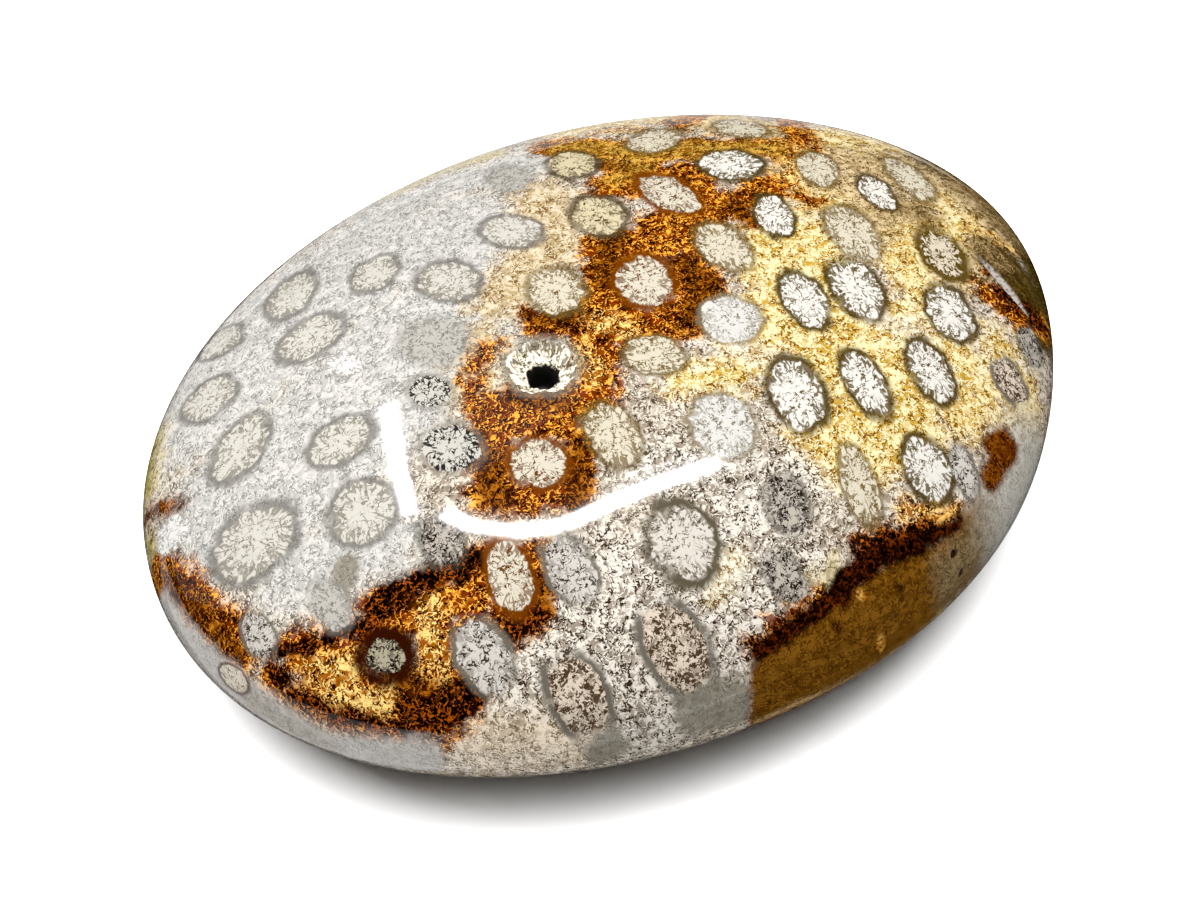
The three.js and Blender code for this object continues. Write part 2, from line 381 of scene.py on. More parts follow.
# The view's right, up and backward directions.
def view_axes():
    azimuth = math.radians(VIEW_AZIMUTH)
    elevation = math.radians(VIEW_ELEVATION)
    level = math.cos(elevation)
    back = Vector((math.sin(azimuth) * level, -math.cos(azimuth) * level, math.sin(elevation)))
    right = Vector((math.cos(azimuth), math.sin(azimuth), 0))
    return right, back.cross(right), back


RIGHT, UP, BACK = view_axes()
EYE = VIEW_AIM + BACK * VIEW_DISTANCE


# Direction from the eye through a pixel of the view.
def pixel_direction(pixel):
    focal = LENS / SENSOR * IMAGE_WIDTH
    across = (pixel[0] - IMAGE_WIDTH / 2) / focal
    upward = (IMAGE_HEIGHT / 2 - pixel[1]) / focal
    return (RIGHT * across + UP * upward - BACK).normalized()


# Radius, as a share of the girdle's, and height of the profile at a latitude in radians.
def profile(latitude):
    above = latitude >= 0
    power = 2 / (DOME_FULLNESS if above else UNDER_FULLNESS)
    reach = DOME_HEIGHT if above else UNDER_DEPTH
    rise = math.copysign(reach * abs(math.sin(latitude)) ** power, latitude)
    return abs(math.cos(latitude)) ** power, GIRDLE_HEIGHT + rise


# Point of the skin at a plan angle in radians, for a profile radius and height.
def skin_point(angle, share, height):
    four = FOUR_CORNERS * math.cos(4 * angle) + FOUR_CORNERS_TURNED * math.sin(4 * angle)
    swell = 1 + SKEW * math.sin(2 * angle) + THREE_CORNERS * math.cos(3 * angle) + four
    x = HALF_LENGTH * math.cos(angle) * share * swell
    y = HALF_WIDTH * math.sin(angle) * share * (1 + TAPER * math.cos(angle) * share) * swell
    return x, y, height


# Profile of each ring of the upper half, from the crown to the girdle.
def dome_rings():
    return [profile((1 - ring / RINGS) * math.pi / 2) for ring in range(RINGS + 1)]


# Profile of each ring of the lower half, from the middle of the flat to the girdle.
def under_rings():
    flat_latitude = math.asin((GIRDLE_HEIGHT / UNDER_DEPTH) ** (UNDER_FULLNESS / 2))
    flat_share = profile(-flat_latitude)[0]
    rings = [(flat_share * ring / FLAT_RINGS, 0) for ring in range(FLAT_RINGS + 1)]
    for ring in range(FLAT_RINGS + 1, RINGS + 1):
        rings.append(profile(-flat_latitude * (RINGS - ring) / (RINGS - FLAT_RINGS)))
    return rings


# Ring number and plan angle of a cell of a square grid that is rounded to a disc.
def ring_and_angle(column, row):
    ring = max(abs(column), abs(row))
    if ring == 0:
        return 0, 0
    if abs(column) >= abs(row):
        return ring, math.pi / 4 * row / column + (math.pi if column < 0 else 0)
    return ring, math.pi / 2 - math.pi / 4 * column / row + (math.pi if row < 0 else 0)


# Corners and four-sided faces of the whole skin, two rounded grids that share the girdle.
def skin_grid():
    corners = []
    girdle = {}
    faces = []
    cells = range(-RINGS, RINGS + 1)
    for rings, upper in ((dome_rings(), True), (under_rings(), False)):
        index = {}
        for column in cells:
            for row in cells:
                ring, angle = ring_and_angle(column, row)
                if ring == RINGS and not upper:
                    index[column, row] = girdle[column, row]
                    continue
                index[column, row] = len(corners)
                if ring == RINGS:
                    girdle[column, row] = len(corners)
                corners.append(skin_point(angle, *rings[ring]))
        for column in cells[:-1]:
            for row in cells[:-1]:
                around = [(0, 0), (1, 0), (1, 1), (0, 1)]
                face = [index[column + a, row + b] for a, b in around]
                faces.append(face if upper else face[::-1])
    return np.array(corners), faces


# Stretches the corners by a hair so that they fill the solid's box.
def fit_to_box(corners):
    low, high = (np.array(corner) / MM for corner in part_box("stone"))
    lowest = corners.min(axis=0)
    highest = corners.max(axis=0)
    return low + (corners - lowest) * (high - low) / (highest - lowest)


# Where the view's ray through a pixel meets the smooth skin: the point and the outward direction.
# A pixel outside the outline slides towards the middle of the stone until it is on it.
def skin_at(tree, pixel):
    point = None
    x, y = pixel
    while point is None:
        point, normal, _, _ = tree.ray_cast(EYE, pixel_direction((x, y)))
        x += (STONE_MIDDLE[0] - x) * SLIDE
        y += (STONE_MIDDLE[1] - y) * SLIDE
    return point, normal


# Cuts the faces near some points of the skin finer.
def refine(mesh, points, reach):
    near = []
    for face in mesh.faces:
        middle = face.calc_center_median()
        if min((middle - point).length for point in points) < reach:
            near.append(face)
    edges = list({edge for face in near for edge in face.edges})
    bmesh.ops.subdivide_edges(mesh, edges=edges, cuts=HOLLOW_CUTS, use_grid_fill=True)


# How uneven a hollow's radius is at an offset from its middle.
def uneven(offset, waves):
    return sum(share * noise.noise(offset * count) for share, count in waves)


# Sinks the open coral cup, whose wall is uneven.
def sink_cup(mesh, tree, depths):
    middle, normal = skin_at(tree, CUP_PIXEL)
    refine(mesh, [middle], CUP_REACH)
    radii, levels = zip(*CUP_PROFILE)
    for corner in mesh.verts:
        offset = corner.co - middle
        if offset.length > CUP_REACH:
            continue
        across = offset - normal * offset.dot(normal)
        radius = across.length * (1 + uneven(offset, CUP_WAVES))
        depth = float(np.interp(radius, radii, levels))
        corner[depths] = depth
        corner.co -= normal * depth


# Sinks the fissure, and notes how far in and on which side of its line each corner is.
def sink_fissure(mesh, tree, depths, fissure, sides):
    start, end = (skin_at(tree, pixel)[0] for pixel in FISSURE_PIXELS)
    normal = skin_at(tree, FISSURE_PIXELS[0])[1]
    line = end - start
    steps = [start + line * share / FISSURE_STEPS for share in range(FISSURE_STEPS + 1)]
    refine(mesh, steps, FISSURE_REACH)
    along = line.normalized()
    across = normal.cross(along)
    for corner in mesh.verts:
        offset = corner.co - start
        run = min(max(offset.dot(along), 0), line.length)
        gap = corner.co - (start + along * run)
        if gap.length > FISSURE_REACH:
            continue
        from_middle = 2 * run / line.length - 1
        half_width = FISSURE_HALF_WIDTH * (1 - FISSURE_TAPER * from_middle ** 2)
        away = gap.length / half_width
        depth = FISSURE_DEPTH * max(0, 1 - away ** 2) ** FISSURE_FULLNESS
        corner[depths] = depth
        corner[fissure] = 1 - away
        corner[sides] = gap.dot(across) / half_width
        corner.co -= normal * depth


# Sinks the small pocks.
def sink_pocks(mesh, tree, depths, pocks):
    for pixel in POCK_PIXELS:
        middle, normal = skin_at(tree, pixel)
        refine(mesh, [middle], POCK_REACH)
        for corner in mesh.verts:
            offset = corner.co - middle
            if offset.length > POCK_REACH:
                continue
            away = offset.length / POCK_RADIUS * (1 + uneven(offset, POCK_WAVES))
            depth = POCK_DEPTH * max(0, 1 - away ** 2)
            corner[depths] = max(corner[depths], depth)
            corner[pocks] = max(corner[pocks], 1 - away)
            corner.co -= normal * depth


# The stone's mesh in millimetres, with how far each corner is sunk, and the smooth skin's ray tree.
def stone_mesh():
    corners, faces = skin_grid()
    corners = fit_to_box(corners)
    tree = BVHTree.FromPolygons([Vector(corner) for corner in corners], faces)
    data = bpy.data.meshes.new("polished_stone")
    data.from_pydata(corners.tolist(), [], faces)
    mesh = bmesh.new()
    mesh.from_mesh(data)
    depths = mesh.verts.layers.float.new("hollow")
    fissure = mesh.verts.layers.float.new("fissure")
    sides = mesh.verts.layers.float.new("fissure_side")
    pocks = mesh.verts.layers.float.new("pock")
    sink_cup(mesh, tree, depths)
    sink_fissure(mesh, tree, depths, fissure, sides)
    sink_pocks(mesh, tree, depths, pocks)
    for face in mesh.faces:
        face.smooth = True
    mesh.to_mesh(data)
    mesh.free()
    return data, tree


# sRGB share to linear light, by sRGB's own curve.
def linear(colour):
    return [c / 12.92 if c <= 0.04045 else ((c + 0.055) / 1.055) ** 2.4 for c in colour]


# The linear colour of the skin for a colour as seen in studio light, of which it is this share.
LIGHT_SHARE = 0.277


def skin_colour(colour):
    return [c * LIGHT_SHARE for c in linear(colour)]


# A coral cup: its middle on the skin, the two directions that measure across its tube in cup radii,
# and the name of its look. Tubes lean from straight up towards the skin's outward direction.
Cup = namedtuple("Cup", "middle across look")
TUBE_UPRIGHT = 0.6


def make_cup(middle, long, short, normal, look):
    axis = (UPRIGHT * TUBE_UPRIGHT + normal * (1 - TUBE_UPRIGHT)).normalized()
    inverse = np.linalg.inv(np.array([long, short, axis]).T)
    return Cup(np.array(middle), inverse[:2], look)


# The cups that the view shows.
def shown_cups(tree):
    cups = []
    for x, y, long, short, tilt, look in CUPS:
        middle, normal = skin_at(tree, (x, y))
        turn = math.radians(tilt)
        ends = []
        for reach, angle in ((long, turn), (short, turn + math.pi / 2)):
            pixel = (x + reach * math.cos(angle), y + reach * math.sin(angle))
            direction = pixel_direction(pixel)
            travel = (middle - EYE).dot(normal) / direction.dot(normal)
            ends.append(EYE + direction * travel - middle)
        cups.append(make_cup(middle, *ends, normal, look))
    return cups


# Distance, in cup radii, of points from a cup's axis.
def cup_radius(points, cup):
    return np.linalg.norm((points - cup.middle) @ cup.across.T, axis=1)


# Cups on the sides that the view doesn't show, in a seeded scatter. Radius and reach are in
# millimetres, the spacing between cups and the clearance from the shown skin in cup radii, and the
# flatness is the short radius as a share of the long one.
HIDDEN_SEED = 11
HIDDEN_TRIES = 2600
HIDDEN_RADIUS = (1.75, 2.3)
HIDDEN_FLATNESS = 0.85
HIDDEN_SPACING = 2.7
HIDDEN_CLEARANCE = 1.4
HIDDEN_REACH = 7
HIDDEN_LOOKS = ["pale", "cream", "bold", "white", "grey", "cream", "tan"]


def hidden_cups(centres, normals, shown, cups):
    dice = random.Random(HIDDEN_SEED)
    hidden = np.flatnonzero(~shown)
    added = []
    for _ in range(HIDDEN_TRIES):
        face = hidden[dice.randrange(len(hidden))]
        radius = dice.uniform(*HIDDEN_RADIUS)
        turn = dice.uniform(0, math.tau)
        look = dice.choice(HIDDEN_LOOKS)
        middle = centres[face]
        normal = Vector(normals[face])
        near = [cup for cup in added if np.linalg.norm(cup.middle - middle) < 2 * HIDDEN_REACH]
        if any(cup_radius(middle[None], cup)[0] < HIDDEN_SPACING for cup in cups + near):
            continue
        side = normal.orthogonal().normalized()
        side.rotate(Matrix.Rotation(turn, 3, normal))
        other = normal.cross(side) * radius * HIDDEN_FLATNESS
        cup = make_cup(Vector(middle), side * radius, other, normal, look)
        close = shown & (np.linalg.norm(centres - middle, axis=1) < HIDDEN_REACH)
        if close.any() and cup_radius(centres[close], cup).min() < HIDDEN_CLEARANCE:
            continue
        added.append(cup)
    return added


# Number of the nearest cup for every face. Hidden cups don't reach the shown skin.
def nearest_cups(centres, shown, cups, count_shown):
    best = np.full(len(centres), FAR)
    nearest = np.zeros(len(centres), int)
    for number, cup in enumerate(cups):
        radius = cup_radius(centres, cup)
        if number >= count_shown:
            far = np.linalg.norm(centres - cup.middle, axis=1) > HIDDEN_REACH
            radius[shown | far] = FAR
        closer = radius < best
        best[closer] = radius[closer]
        nearest[closer] = number
    return nearest


# Distance of points from a stroke's line, with height counted less, because stains run downwards.
STAIN_HEIGHT_SHARE = 0.45


def stroke_distance(points, line):
    best = np.full(len(points), FAR)
    scale = np.array([1, 1, STAIN_HEIGHT_SHARE])
    points = points * scale
    line = [np.array(point) * scale for point in line]
    for start, end in zip(line[:-1], line[1:]):
        run = end - start
        share = np.clip((points - start) @ run / (run @ run), 0, 1)
        best = np.minimum(best, np.linalg.norm(points - start - share[:, None] * run, axis=1))
    return best


# Distance of points from the edge of a stain or painted patch, less than nothing inside it, and no more
# than a limit.
STAIN_FARTHEST = 12


def stain_and_light_distance(points, tree, strokes):
    best = np.full(len(points), STAIN_FARTHEST)
    for radius, *pixels in strokes:
        line = [skin_at(tree, pixel)[0] for pixel in pixels]
        best = np.minimum(best, stroke_distance(points, line) - radius)
    return best


# Writes a named attribute to the mesh.
def store(data, name, kind, domain, values):
    field = {"FLOAT": "value", "FLOAT_VECTOR": "vector", "FLOAT_COLOR": "color"}[kind]
    attribute = data.attributes.new(name, kind, domain)
    attribute.data.foreach_set(field, np.asarray(values, np.float32).ravel())


# The shown cups, then the hidden ones, and the number of the nearest cup for every face. The view
# shows a face that turns to the eye by more than a cosine.
SHOWN_FACING = 0.1


def place_cups(data, tree):
    centres = np.array([face.center for face in data.polygons])
    normals = np.array([face.normal for face in data.polygons])
    towards = np.array(EYE) - centres
    towards /= np.linalg.norm(towards, axis=1)[:, None]
    shown = np.einsum("ij,ij->i", towards, normals) > SHOWN_FACING
    cups = shown_cups(tree)
    count_shown = len(cups)
    cups += hidden_cups(centres, normals, shown, cups)
    return cups, nearest_cups(centres, shown, cups, count_shown)


# Writes each face's coral cup to the mesh: the place across its tube, its colours and its form.
CUP_SEED = 5
SEPTA_COUNT = (10, 14)


def mark_cups(data, points, cups, nearest):
    sizes = np.array([face.loop_total for face in data.polygons])
    cup_of_loop = np.repeat(nearest, sizes)
    loops = np.empty(len(data.loops), int)
    data.loops.foreach_get("vertex_index", loops)
    middles = np.array([cup.middle for cup in cups])
    across = np.array([cup.across for cup in cups])
    offset = points[loops] - middles[cup_of_loop]
    place = np.einsum("ijk,ik->ij", across[cup_of_loop], offset)
    dice = random.Random(CUP_SEED)
    turn = np.array([dice.uniform(0, 1) for _ in cups])
    store(data, "cup", "FLOAT_VECTOR", "CORNER", np.column_stack([place, turn[cup_of_loop]]))

    looks = [LOOKS[cup.look] for cup in cups]
    for part in ("disc", "gap", "ring"):
        colours = np.array([[*skin_colour(getattr(look, part)), 1] for look in looks])
        store(data, f"cup_{part}", "FLOAT_COLOR", "FACE", colours[nearest])
    septa = [dice.uniform(*SEPTA_COUNT) for _ in cups]
    form = np.array([[k.ring_width, k.ring_strength, n] for k, n in zip(looks, septa)])
    store(data, "cup_form", "FLOAT_VECTOR", "FACE", form[nearest])
    feel = np.array([[k.core, k.cut, k.opened] for k in looks])
    store(data, "cup_feel", "FLOAT_VECTOR", "FACE", feel[nearest])


# Gives the mesh its markings: each face's coral cup, and each corner's distance from the stains and
# from the patches of painted reflection and painted light.
def mark(data, tree):
    points = np.empty(len(data.vertices) * 3)
    data.vertices.foreach_get("co", points)
    points = points.reshape(-1, 3)
    mark_cups(data, points, *place_cups(data, tree))
    for name, stain_and_light in STAINS_AND_PAINTED_LIGHT.items():
        store(data, name, "FLOAT", "POINT", stain_and_light_distance(points, tree, stain_and_light.strokes))


# A material's node graph, with short calls for the nodes that the stone uses.
class Graph:
    def __init__(self, name):
        self.material = bpy.data.materials.new(name)
        self.material.use_nodes = True
        self.nodes = self.material.node_tree.nodes
        self.nodes.clear()

    def add(self, kind, inputs=None, **settings):
        node = self.nodes.new(kind)
        for name, value in settings.items():
            setattr(node, name, value)
        for name, value in (inputs or {}).items():
            if value is not None:
                self.feed(node.inputs[name], value)
        return node

    def feed(self, socket, value):
        if isinstance(value, bpy.types.NodeSocket):
            self.material.node_tree.links.new(value, socket)
        else:
            socket.default_value = value

    def math(self, operation, first, second=None, third=None):
        inputs = dict(enumerate((first, second, third)))
        return self.add("ShaderNodeMath", inputs, operation=operation).outputs[0]

    def vector(self, operation, first, second=None, scale=None):
        inputs = {0: first, 1: second, "Scale": scale}
        return self.add("ShaderNodeVectorMath", inputs, operation=operation).outputs[0]

    def smooth(self, value, low, high, start=0, end=1):
        inputs = {"Value": value, "From Min": low, "From Max": high, "To Min": start, "To Max": end}
        return self.add("ShaderNodeMapRange", inputs, interpolation_type="SMOOTHSTEP").outputs[0]

    # The mix node's inputs 2 and 3 are for numbers, and 6 and 7 for colours.
    def mix(self, share, first, second):
        inputs = {0: share, 6: self.colour(first), 7: self.colour(second)}
        return self.add("ShaderNodeMix", inputs, data_type="RGBA").outputs[2]

    def blend(self, share, first, second):
        return self.add("ShaderNodeMix", {0: share, 2: first, 3: second}).outputs[0]

    def colour(self, value):
        return (*skin_colour(value), 1) if isinstance(value, tuple) else value

    def attribute(self, name):
        return self.add("ShaderNodeAttribute", attribute_name=name)

    def number(self, name):
        return self.attribute(name).outputs["Fac"]

    def numbers(self, name):
        return self.split(self.attribute(name).outputs["Vector"])

    def noise(self, place, scale, detail=2, roughness=0.5):
        inputs = {"Vector": place, "Scale": scale, "Detail": detail, "Roughness": roughness}
        return self.add("ShaderNodeTexNoise", inputs)

    def level(self, *settings):
        return self.noise(*settings).outputs["Fac"]

    # A noise that waves about 0.
    def wave(self, *settings):
        return self.math("SUBTRACT", self.level(*settings), MEAN)

    def split(self, vector):
        return self.add("ShaderNodeSeparateXYZ", {0: vector}).outputs


# In the patterns below a scale is waves for a millimetre, a gain is how much of a pattern is added,
# and edges are the values between which one thing turns into another.
MEAN = 0.5  # of a noise, and of the flakes' level
FLAKE_SIZE = 0.4
TONE_GAIN = 0.42
BEND_SCALE = 1.3
BEND_GAIN = 0.7
FRAY_SCALE = 5
FRAY_GAIN = 0.2
LINE_SCALE = 1.9
LINE_ROUGHNESS = 0.65
LINE_EDGES = (0.055, 0.018)
DRAWN_SCALE = 1.7
DRAWN_EDGES = (0.36, 0.56)
DARK_GAIN = -0.95
BRIGHT_SHIFT = (0.08, -0.06, 0.08)
BRIGHT_GAIN = 0.5


# Thin crinkled lines, where a noise crosses its mean.
def flake_lines(graph, place):
    away = graph.math("ABSOLUTE", graph.wave(place, LINE_SCALE, 2, LINE_ROUGHNESS))
    return graph.smooth(away, *LINE_EDGES)


# Crinkled flakes of the coral skeleton, as a level about 0.5: each flake has its own tone, thin
# bright edges are above it and the dark lines beside them are below it.
def flakes(graph, place):
    bend = graph.noise(place, BEND_SCALE, 1).outputs["Color"]
    fray = graph.noise(place, FRAY_SCALE, 1).outputs["Color"]
    bent = graph.vector("ADD", place, graph.vector("SCALE", bend, scale=BEND_GAIN))
    bent = graph.vector("ADD", bent, graph.vector("SCALE", fray, scale=FRAY_GAIN))
    inputs = {"Vector": bent, "Scale": 1 / FLAKE_SIZE}
    tone = graph.split(graph.add("ShaderNodeTexVoronoi", inputs).outputs["Color"])[0]
    drawn = graph.smooth(graph.level(place, DRAWN_SCALE, 1), *DRAWN_EDGES)
    dark = graph.math("MULTIPLY", flake_lines(graph, bent), drawn)
    bright = flake_lines(graph, graph.vector("ADD", bent, BRIGHT_SHIFT))
    level = graph.math("MULTIPLY_ADD", tone, TONE_GAIN, MEAN - TONE_GAIN / 2)
    level = graph.math("MULTIPLY_ADD", bright, BRIGHT_GAIN, level)
    return graph.math("MULTIPLY_ADD", dark, DARK_GAIN, level)


# Colour of the matrix between the cups: stains, and patches of painted reflection and painted light,
# one over the other.
RAGGED_SCALE = 0.9
RAGGED_DETAIL = 3
RAGGED_ROUGHNESS = 0.6
PATCH_SCALE = 0.8
PATCH_GAIN = 0.9
DEEP_EDGES = (0.05, 0.35)
LIGHT_EDGES = (0.45, 0.85)


def matrix_colour(graph, place, level):
    ragged = graph.wave(place, RAGGED_SCALE, RAGGED_DETAIL, RAGGED_ROUGHNESS)
    light, deep, line, cover = PLAIN_MATRIX[:4]
    for name, stain_and_light in STAINS_AND_PAINTED_LIGHT.items():
        away = graph.math("MULTIPLY_ADD", ragged, stain_and_light.ragged, graph.number(name))
        share = graph.smooth(away, stain_and_light.fade, -stain_and_light.fade)
        light = graph.mix(share, light, stain_and_light.light)
        deep = graph.mix(share, deep, stain_and_light.deep)
        line = graph.mix(share, line, stain_and_light.line)
        cover = graph.blend(share, cover, stain_and_light.cover)
    level = graph.math("MULTIPLY_ADD", graph.wave(place, PATCH_SCALE), PATCH_GAIN, level)
    level = graph.math("ADD", level, graph.math("SUBTRACT", cover, MEAN))
    colour = graph.mix(graph.smooth(level, *DEEP_EDGES), line, deep)
    return graph.mix(graph.smooth(level, *LIGHT_EDGES), colour, light)


# Septa of the cups: a noise that changes round each cup and little from its middle to its rim.
SEPTA_FOR_RADIUS = 6  # septa that a circle of radius 1 has room for
SEPTA_CHANGE = 1.5
SEPTA_APART = 40
SEPTA_CRINKLE = 0.12
SEPTA_ROUGHNESS = 0.6


def cup_septa(graph, place, around, radius, turn, count):
    depth = graph.math("MULTIPLY", radius, SEPTA_CHANGE)
    depth = graph.math("MULTIPLY_ADD", turn, SEPTA_APART, depth)
    spot = graph.vector("SCALE", around, scale=graph.math("DIVIDE", count, SEPTA_FOR_RADIUS))
    spot = graph.vector("ADD", spot, graph.add("ShaderNodeCombineXYZ", {2: depth}).outputs[0])
    spot = graph.vector("ADD", spot, graph.vector("SCALE", place, scale=SEPTA_CRINKLE))
    return graph.level(spot, 1, 2, SEPTA_ROUGHNESS)


# Share of dark gaps in a disc: cracks between the septa, wider notches at the rim, and dark flakes.
CRACK_MIDDLE = 0.53
CRACK_RADII = (0.15, 1)
CRACK_WIDTHS = (-0.01, 0.04)
NOTCH_RADII = (0.3, 1)
NOTCH_LEVELS = (0.28, 0.42)
GAP_EDGES = (0.02, -0.02)
CORE_GAIN = 0.5
CORE_LEVEL = -0.3
CORE_EDGES = (-0.45, -0.05)


def cup_gaps(graph, septa, radius, level, core, cut):
    crack = graph.math("ABSOLUTE", graph.math("SUBTRACT", septa, CRACK_MIDDLE))
    crack = graph.math("SUBTRACT", crack, graph.smooth(radius, *CRACK_RADII, *CRACK_WIDTHS))
    notch = graph.math("SUBTRACT", septa, graph.smooth(radius, *NOTCH_RADII, *NOTCH_LEVELS))
    gap = graph.smooth(graph.math("MINIMUM", crack, notch), *GAP_EDGES)
    gap = graph.math("MULTIPLY", gap, cut)
    speck = graph.math("SUBTRACT", CORE_LEVEL, level)
    speck = graph.math("MULTIPLY_ADD", core, CORE_GAIN, speck)
    return graph.math("MAXIMUM", gap, graph.smooth(speck, *CORE_EDGES))


# Strength of the ring round a disc, which is paler in places and may be open at two sides.
RING_FRAY = 0.35
RING_FADE = 0.12
RING_SOFTNESS = -0.6
PALER_SCALE = 0.45
PALER_EDGES = (0.3, 0.5)
PALER_SHARES = (0.7, 1)
OPEN_EDGES = (0.3, 0.75)


def cup_ring(graph, place, around, radius, fray, width, strength, opened):
    outside = graph.math("MULTIPLY_ADD", fray, RING_FRAY, graph.math("ADD", width, 1))
    inner = graph.math("MULTIPLY_ADD", width, RING_SOFTNESS, outside)
    ring = graph.smooth(radius, graph.math("ADD", outside, RING_FADE), inner)
    paler = graph.smooth(graph.level(place, PALER_SCALE, 1), *PALER_EDGES, *PALER_SHARES)
    side = graph.smooth(graph.math("ABSOLUTE", graph.split(around)[1]), *OPEN_EDGES)
    side = graph.blend(opened, 1, side)
    ring = graph.math("MULTIPLY", ring, strength)
    return graph.math("MULTIPLY", ring, graph.math("MULTIPLY", paler, side))


# The cups over the matrix: a flaky disc with septa towards its rim, and a smooth ring round it.
# Radii are in cup radii.
CUP_SCALE = 0.8
CUP_GAIN = 0.3
RIM_FRAY = 0.45
RIM_EDGES = (0.05, -0.05)


def cup_colour(graph, place, level, ground):
    u, v, turn = graph.numbers("cup")
    ring_width, ring_strength, count = graph.numbers("cup_form")
    core, cut, opened = graph.numbers("cup_feel")
    flat = graph.add("ShaderNodeCombineXYZ", {0: u, 1: v}).outputs[0]
    around = graph.vector("NORMALIZE", flat)
    radius = graph.add("ShaderNodeVectorMath", {0: flat}, operation="LENGTH").outputs["Value"]
    radius = graph.math("MULTIPLY_ADD", graph.wave(place, CUP_SCALE), CUP_GAIN, radius)
    septa = cup_septa(graph, place, around, radius, turn, count)
    fray = graph.math("SUBTRACT", septa, MEAN)
    rim = graph.math("MULTIPLY_ADD", fray, RIM_FRAY, 1)
    inside = graph.smooth(graph.math("SUBTRACT", radius, rim), *RIM_EDGES)
    ring = cup_ring(graph, place, around, radius, fray, ring_width, ring_strength, opened)
    gap = cup_gaps(graph, septa, radius, level, core, cut)
    disc_colour, gap_colour, ring_colour = (
        graph.attribute(f"cup_{part}").outputs["Color"] for part in ("disc", "gap", "ring")
    )
    colour = graph.mix(ring, ground, ring_colour)
    return graph.mix(inside, colour, graph.mix(gap, disc_colour, gap_colour))


# The hollows over the markings: painted shade that turns the open cup's hole dark with depth,
# painted light on the fissure's upper-right side and painted shade on its lower-left side, with
# streaks, and the pocks. Edges are in millimetres of depth, or shares of the way in or across.
# Painted shade: the open cup's hole turns near black with depth.
HOLE_SHADE_COLOUR = (0.05, 0.04, 0.03)
HOLE_SHADE_SCALE = 2.2
HOLE_SHADE_GAIN = 1.8
HOLE_SHADE_EDGES = (0.9, 1.3)
STREAK_SCALE = 3.2
STREAK_ROUGHNESS = 0.6
STREAK_EDGES = (0.46, 0.6)
STREAK_SHARES = (0, 0.75)
# The fissure's groove is even in section: its pale upper-right side is painted light and its dark
# lower-left side is painted shade.
FISSURE_LIT_COLOUR = (0.82, 0.78, 0.74)
FISSURE_LIT_EDGES = (-0.55, -0.25)
FISSURE_SHADE_COLOUR = (0.20, 0.13, 0.06)
FISSURE_EDGES = (0.05, 0.2)
POCK_COLOUR = (0.22, 0.13, 0.05)
POCK_EDGES = (0.1, 0.5)


def hollow_colour_light_and_shade(graph, place, colour):
    hole_shade = graph.math("MULTIPLY_ADD", graph.wave(place, HOLE_SHADE_SCALE), HOLE_SHADE_GAIN, graph.number("hollow"))
    colour = graph.mix(graph.smooth(hole_shade, *HOLE_SHADE_EDGES), colour, HOLE_SHADE_COLOUR)
    streak = graph.level(place, STREAK_SCALE, 2, STREAK_ROUGHNESS)
    streak = graph.smooth(streak, *STREAK_EDGES, *STREAK_SHARES)
    fissure_light_and_shade = graph.smooth(graph.number("fissure_side"), *FISSURE_LIT_EDGES)
    fissure_light_and_shade = graph.math("MULTIPLY", fissure_light_and_shade, graph.math("SUBTRACT", 1, streak))
    fissure_light_and_shade = graph.mix(fissure_light_and_shade, FISSURE_SHADE_COLOUR, FISSURE_LIT_COLOUR)
    colour = graph.mix(graph.smooth(graph.number("fissure"), *FISSURE_EDGES), colour, fissure_light_and_shade)
    return graph.mix(graph.smooth(graph.number("pock"), *POCK_EDGES), colour, POCK_COLOUR)


# Polished agatized coral: glossy, and rough where the skin is sunk by as much as the depths say.
POLISH_DEPTHS = (0, 0.3)
POLISH_ROUGHNESS = (0.055, 0.6)
AGATE_IOR = 1.54


def stone_material():
    graph = Graph("fossil_coral")
    place = graph.add("ShaderNodeTexCoord").outputs["Object"]
    place = graph.vector("SCALE", place, scale=1 / MM)
    level = flakes(graph, place)
    colour = cup_colour(graph, place, level, matrix_colour(graph, place, level))
    colour = hollow_colour_light_and_shade(graph, place, colour)
    rough = graph.smooth(graph.number("hollow"), *POLISH_DEPTHS, *POLISH_ROUGHNESS)
    shader = graph.add("ShaderNodeBsdfPrincipled", {"Base Color": colour, "Roughness": rough})
    shader.inputs["IOR"].default_value = AGATE_IOR
    graph.add("ShaderNodeOutputMaterial", {"Surface": shader.outputs[0]})
    return graph.material


# A new object in the scene.
def add_object(name, data):
    made = bpy.data.objects.new(name, data)
    bpy.context.scene.collection.objects.link(made)
    return made


# The whole stone, in place of the plain solid.
def make_stone():
    data, tree = stone_mesh()
    mark(data, tree)
    data.transform(Matrix.Scale(MM, 4))
    data.materials.append(stone_material())
    stone = add_object("polished_stone", data)
    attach(stone, "root")
    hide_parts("stone")
    return tree


# A wide pale floor.
FLOOR_HALF = 4000
FLOOR_COLOUR = (0.95, 0.95, 0.95, 1)
FLOOR_ROUGHNESS = 0.9


def make_floor():
    data = bpy.data.meshes.new("floor")
    half = FLOOR_HALF * MM
    corners = [(-half, -half, 0), (half, -half, 0), (half, half, 0), (-half, half, 0)]
    data.from_pydata(corners, [], [(0, 1, 2, 3)])
    graph = Graph("floor")
    inputs = {"Base Color": FLOOR_COLOUR, "Roughness": FLOOR_ROUGHNESS}
    shader = graph.add("ShaderNodeBsdfPrincipled", inputs)
    graph.add("ShaderNodeOutputMaterial", {"Surface": shader.outputs[0]})
    data.materials.append(graph.material)
    floor = add_object("floor", data)
    floor.visible_glossy = False


